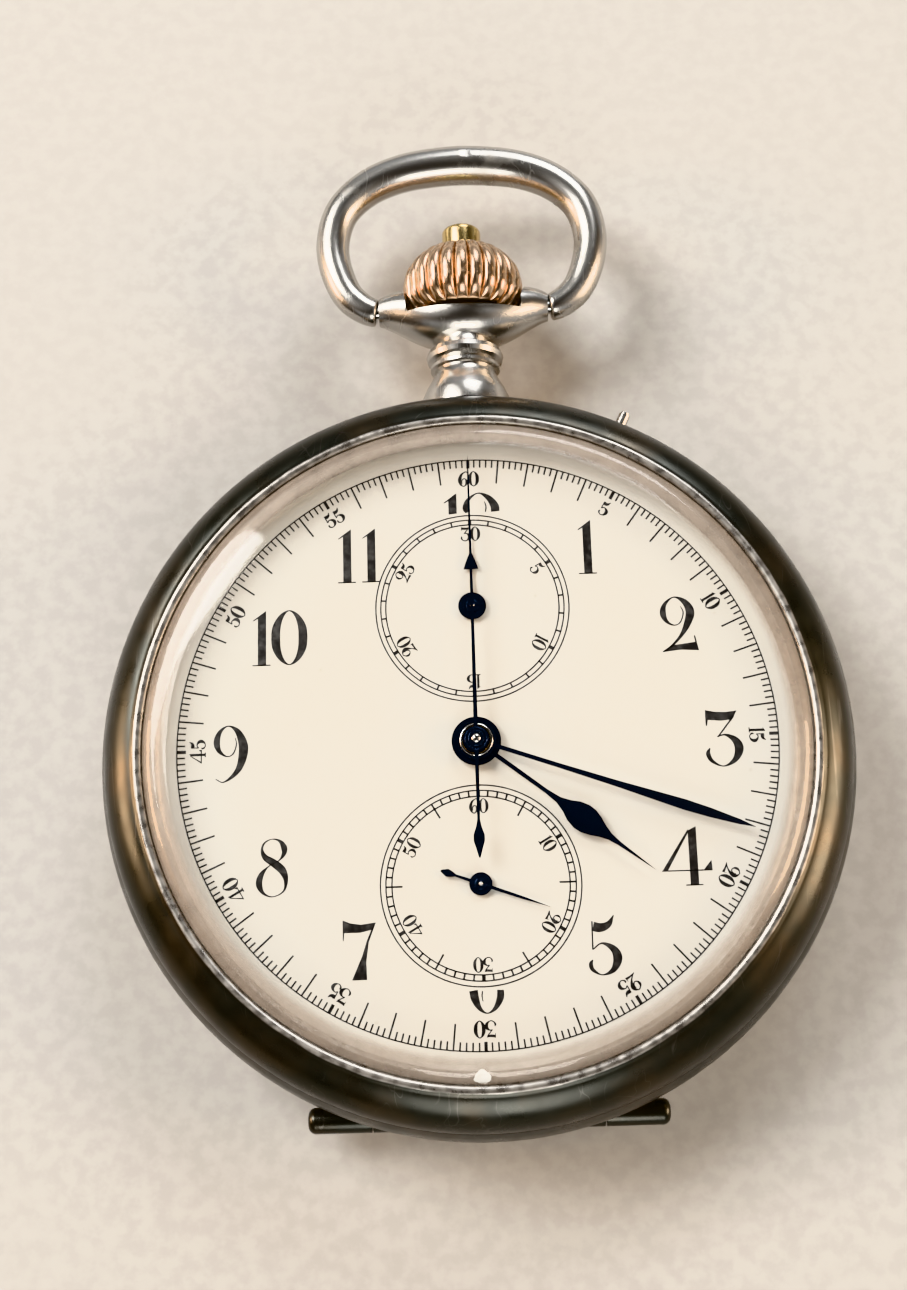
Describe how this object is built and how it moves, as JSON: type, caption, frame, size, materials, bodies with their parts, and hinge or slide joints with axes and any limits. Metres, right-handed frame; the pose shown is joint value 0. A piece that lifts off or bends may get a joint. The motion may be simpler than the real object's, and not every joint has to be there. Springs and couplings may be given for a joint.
{
  "type": "pocket chronograph stopwatch",
  "caption": "Open-face mechanical pocket chronograph: enamel dial with two registers, ribbed crown with push-button, oval bow, hinged back and full movement.",
  "frame": {"origin": "centre of the flat resting face of the back cover", "axes": "+Z out of the dial, +Y towards 12 o'clock, the crown and the bow, +X towards 3 o'clock"},
  "size_m": [0.0532, 0.0747, 0.0139],
  "materials": {
    "dark_case_steel": "oxidised satin",
    "silver": "polished and worn",
    "crown_gold": "polished and worn",
    "crystal": "clear",
    "enamel": "fired enamel, opaque",
    "blued_steel": "polished, blued",
    "gilt_brass": "grained gilt",
    "nickel": "grained nickel",
    "steel": "polished",
    "ruby": "polished stone",
    "cuvette_metal": "satin"
  },
  "bodies": {
    "case": {"case_middle": "dark_case_steel", "bezel": "dark_case_steel", "crystal": "crystal", "hinge_pin": "steel", "pendant": "silver", "pendant_sleeve": "steel", "bow_pins": "steel", "setting_pin_bush": "silver", "dial": "enamel", "mainplate": "nickel", "barrel_bridge": "nickel", "train_bridge": "nickel", "jewels": "ruby", "bridge_screws": "steel", "case_screws": "steel", "pallet_cock": "nickel", "balance_cock": "nickel", "minute_wheel_stud": "steel", "shouldered_screws": "steel", "chronograph_bridge": "nickel"},
    "bow": {"bow": "silver"},
    "back_cover": {"back_cover": "dark_case_steel"},
    "cuvette": {"cuvette": "cuvette_metal"},
    "crown": {"crown": "crown_gold", "winding_stem": "steel", "winding_pinion": "steel"},
    "crown_wheel": {"crown_wheel": "steel"},
    "intermediate_winding_wheel": {"intermediate_winding_wheel": "steel"},
    "ratchet": {"ratchet_wheel": "steel", "barrel_arbor": "steel"},
    "click": {"click": "steel"},
    "button": {"chrono_button": "crown_gold"},
    "operating_lever": {"operating_lever": "steel"},
    "setting_pin": {"setting_pin": "silver"},
    "barrel": {"mainspring_barrel": "gilt_brass", "mainspring": "steel"},
    "centre": {"centre_wheel": "gilt_brass"},
    "third": {"third_wheel": "gilt_brass"},
    "small_seconds": {"fourth_wheel": "gilt_brass", "small_seconds_hand": "blued_steel", "driving_wheel": "gilt_brass"},
    "escape": {"escape_wheel": "steel"},
    "pallets": {"pallet_fork": "steel"},
    "balance": {"balance_wheel": "gilt_brass", "hairspring": "blued_steel"},
    "regulator": {"regulator": "steel"},
    "minutes": {"cannon_pinion": "steel", "minute_hand": "blued_steel"},
    "minute_wheel": {"minute_wheel": "gilt_brass"},
    "hours": {"hour_wheel": "gilt_brass", "hour_hand": "blued_steel"},
    "chronograph_seconds": {"chronograph_wheel": "gilt_brass", "chrono_seconds_hand": "blued_steel"},
    "minute_counter": {"minute_recorder_wheel": "gilt_brass", "minute_counter_hand": "blued_steel"},
    "coupling_lever": {"coupling_lever": "steel"},
    "coupling_wheel": {"coupling_wheel": "gilt_brass"},
    "column_wheel": {"column_wheel": "steel"},
    "reset_hammer": {"reset_hammer": "steel"},
    "brake_lever": {"brake_lever": "steel"}
  },
  "joints": [
    {"name": "bow_swing", "type": "hinge", "parent": "case", "child": "bow", "pos_m": [0, 0.03435, 0.0064], "axis": [1, 0, 0], "range_deg": [-85, 85]},
    {"name": "back_cover_hinge", "type": "hinge", "parent": "case", "child": "back_cover", "pos_m": [0, -0.0249, 0.0033], "axis": [-1, 0, 0], "range_deg": [0, 95]},
    {"name": "cuvette_hinge", "type": "hinge", "parent": "case", "child": "cuvette", "pos_m": [0, -0.0249, 0.0033], "axis": [-1, 0, 0], "range_deg": [0, 86]},
    {"name": "crown_wind", "type": "hinge", "parent": "case", "child": "crown", "pos_m": [0, 0.036, 0.0064], "axis": [0, 1, 0], "continuous": true},
    {"name": "crown_wheel_spin", "type": "hinge", "parent": "case", "child": "crown_wheel", "pos_m": [0, 0.016, 0.0035], "axis": [0, 0, 1], "continuous": true},
    {"name": "intermediate_wheel_spin", "type": "hinge", "parent": "case", "child": "intermediate_winding_wheel", "pos_m": [0.00509, 0.01366, 0.0032], "axis": [0, 0, 1], "continuous": true},
    {"name": "ratchet_spin", "type": "hinge", "parent": "case", "child": "ratchet", "pos_m": [0.00737, 0.00516, 0.0032], "axis": [0, 0, 1], "continuous": true},
    {"name": "click_lift", "type": "hinge", "parent": "case", "child": "click", "pos_m": [0.01425, 0.00034, 0.0032], "axis": [0, 0, 1], "range_deg": [-6, 0], "stiffness_Nm_per_rad": 0.000002},
    {"name": "button_push", "type": "slide", "parent": "case", "child": "button", "axis": [0, -1, 0], "range_m": [0, 0.0008], "stiffness_N_per_m": 2500, "springref_m": -0.0002},
    {"name": "operating_lever_swing", "type": "hinge", "parent": "case", "child": "operating_lever", "pos_m": [0.0085, 0.01265, 0.0021], "axis": [0, 0, 1], "range_deg": [0, 5.6]},
    {"name": "setting_pin_push", "type": "slide", "parent": "case", "child": "setting_pin", "axis": [-0.4226, -0.9063, 0], "range_m": [0, 0.0007], "stiffness_N_per_m": 1500, "springref_m": -0.0002},
    {"name": "small_seconds_spin", "type": "hinge", "parent": "case", "child": "small_seconds", "pos_m": [0, -0.00975, 0.005], "axis": [0, 0, 1], "continuous": true},
    {"name": "third_wheel_spin", "type": "hinge", "parent": "case", "child": "third", "pos_m": [-0.00371, -0.00509, 0.005], "axis": [0, 0, 1], "continuous": true},
    {"name": "centre_wheel_spin", "type": "hinge", "parent": "case", "child": "centre", "pos_m": [0, 0, 0.005], "axis": [0, 0, 1], "continuous": true},
    {"name": "barrel_spin", "type": "hinge", "parent": "case", "child": "barrel", "pos_m": [0.00737, 0.00516, 0.005], "axis": [0, 0, 1], "continuous": true},
    {"name": "escape_wheel_spin", "type": "hinge", "parent": "case", "child": "escape", "pos_m": [0.00448, -0.01255, 0.005], "axis": [0, 0, 1], "continuous": true},
    {"name": "coupling_wheel_spin", "type": "hinge", "parent": "coupling_lever", "child": "coupling_wheel", "pos_m": [-0.0022, -0.00629, 0.0025], "axis": [0, 0, 1], "continuous": true},
    {"name": "pallet_rock", "type": "hinge", "parent": "case", "child": "pallets", "pos_m": [0.00722, -0.01089, 0.005], "axis": [0, 0, 1], "range_deg": [-5, 5]},
    {"name": "balance_swing", "type": "hinge", "parent": "case", "child": "balance", "pos_m": [0.011, -0.0086, 0.004], "axis": [0, 0, 1], "range_deg": [-270, 270], "stiffness_Nm_per_rad": 0.0000001},
    {"name": "regulator_set", "type": "hinge", "parent": "case", "child": "regulator", "pos_m": [0.011, -0.0086, 0.0019], "axis": [0, 0, 1], "range_deg": [-20, 20]},
    {"name": "minute_hand_spin", "type": "hinge", "parent": "case", "child": "minutes", "pos_m": [0, 0, 0.01], "axis": [0, 0, 1], "continuous": true},
    {"name": "minute_wheel_spin", "type": "hinge", "parent": "case", "child": "minute_wheel", "pos_m": [-0.00255, 0.00255, 0.009], "axis": [0, 0, 1], "continuous": true},
    {"name": "hour_hand_spin", "type": "hinge", "parent": "case", "child": "hours", "pos_m": [0, 0, 0.01], "axis": [0, 0, 1], "continuous": true},
    {"name": "chronograph_seconds_spin", "type": "hinge", "parent": "case", "child": "chronograph_seconds", "pos_m": [0, 0, 0.01], "axis": [0, 0, 1], "continuous": true},
    {"name": "minute_counter_spin", "type": "hinge", "parent": "case", "child": "minute_counter", "pos_m": [0, 0.00975, 0.01], "axis": [0, 0, 1], "continuous": true},
    {"name": "coupling_lever_swing", "type": "hinge", "parent": "case", "child": "coupling_lever", "pos_m": [0, -0.00975, 0.003], "axis": [0, 0, 1], "range_deg": [-2, 0]},
    {"name": "column_wheel_turn", "type": "hinge", "parent": "case", "child": "column_wheel", "pos_m": [-0.008, 0.0126, 0.003], "axis": [0, 0, 1], "continuous": true},
    {"name": "reset_hammer_swing", "type": "hinge", "parent": "case", "child": "reset_hammer", "pos_m": [-0.0042, 0.0165, 0.003], "axis": [0, 0, 1], "range_deg": [0, 3]},
    {"name": "brake_lever_swing", "type": "hinge", "parent": "case", "child": "brake_lever", "pos_m": [-0.011, 0.0015, 0.0025], "axis": [0, 0, 1], "range_deg": [0, 8]}
  ],
  "couplings": [
    {"joint": "cuvette_hinge", "follows": "back_cover_hinge", "ratio": 0.9},
    {"joint": "crown_wheel_spin", "follows": "crown_wind", "ratio": 0.71429},
    {"joint": "intermediate_wheel_spin", "follows": "crown_wind", "ratio": -0.71429},
    {"joint": "ratchet_spin", "follows": "crown_wind", "ratio": 0.33333},
    {"joint": "operating_lever_swing", "follows": "button_push", "rad_per_m": 117.65},
    {"joint": "third_wheel_spin", "follows": "small_seconds_spin", "ratio": -0.13333},
    {"joint": "centre_wheel_spin", "follows": "small_seconds_spin", "ratio": 0.016667},
    {"joint": "barrel_spin", "follows": "small_seconds_spin", "ratio": -0.0020833},
    {"joint": "escape_wheel_spin", "follows": "small_seconds_spin", "ratio": -10},
    {"joint": "coupling_wheel_spin", "follows": "small_seconds_spin", "ratio": -1.7273},
    {"joint": "minute_wheel_spin", "follows": "minute_hand_spin", "ratio": -0.33333},
    {"joint": "hour_hand_spin", "follows": "minute_hand_spin", "ratio": 0.083333},
    {"joint": "minute_counter_spin", "follows": "chronograph_seconds_spin", "ratio": 0.033333}
  ]
}
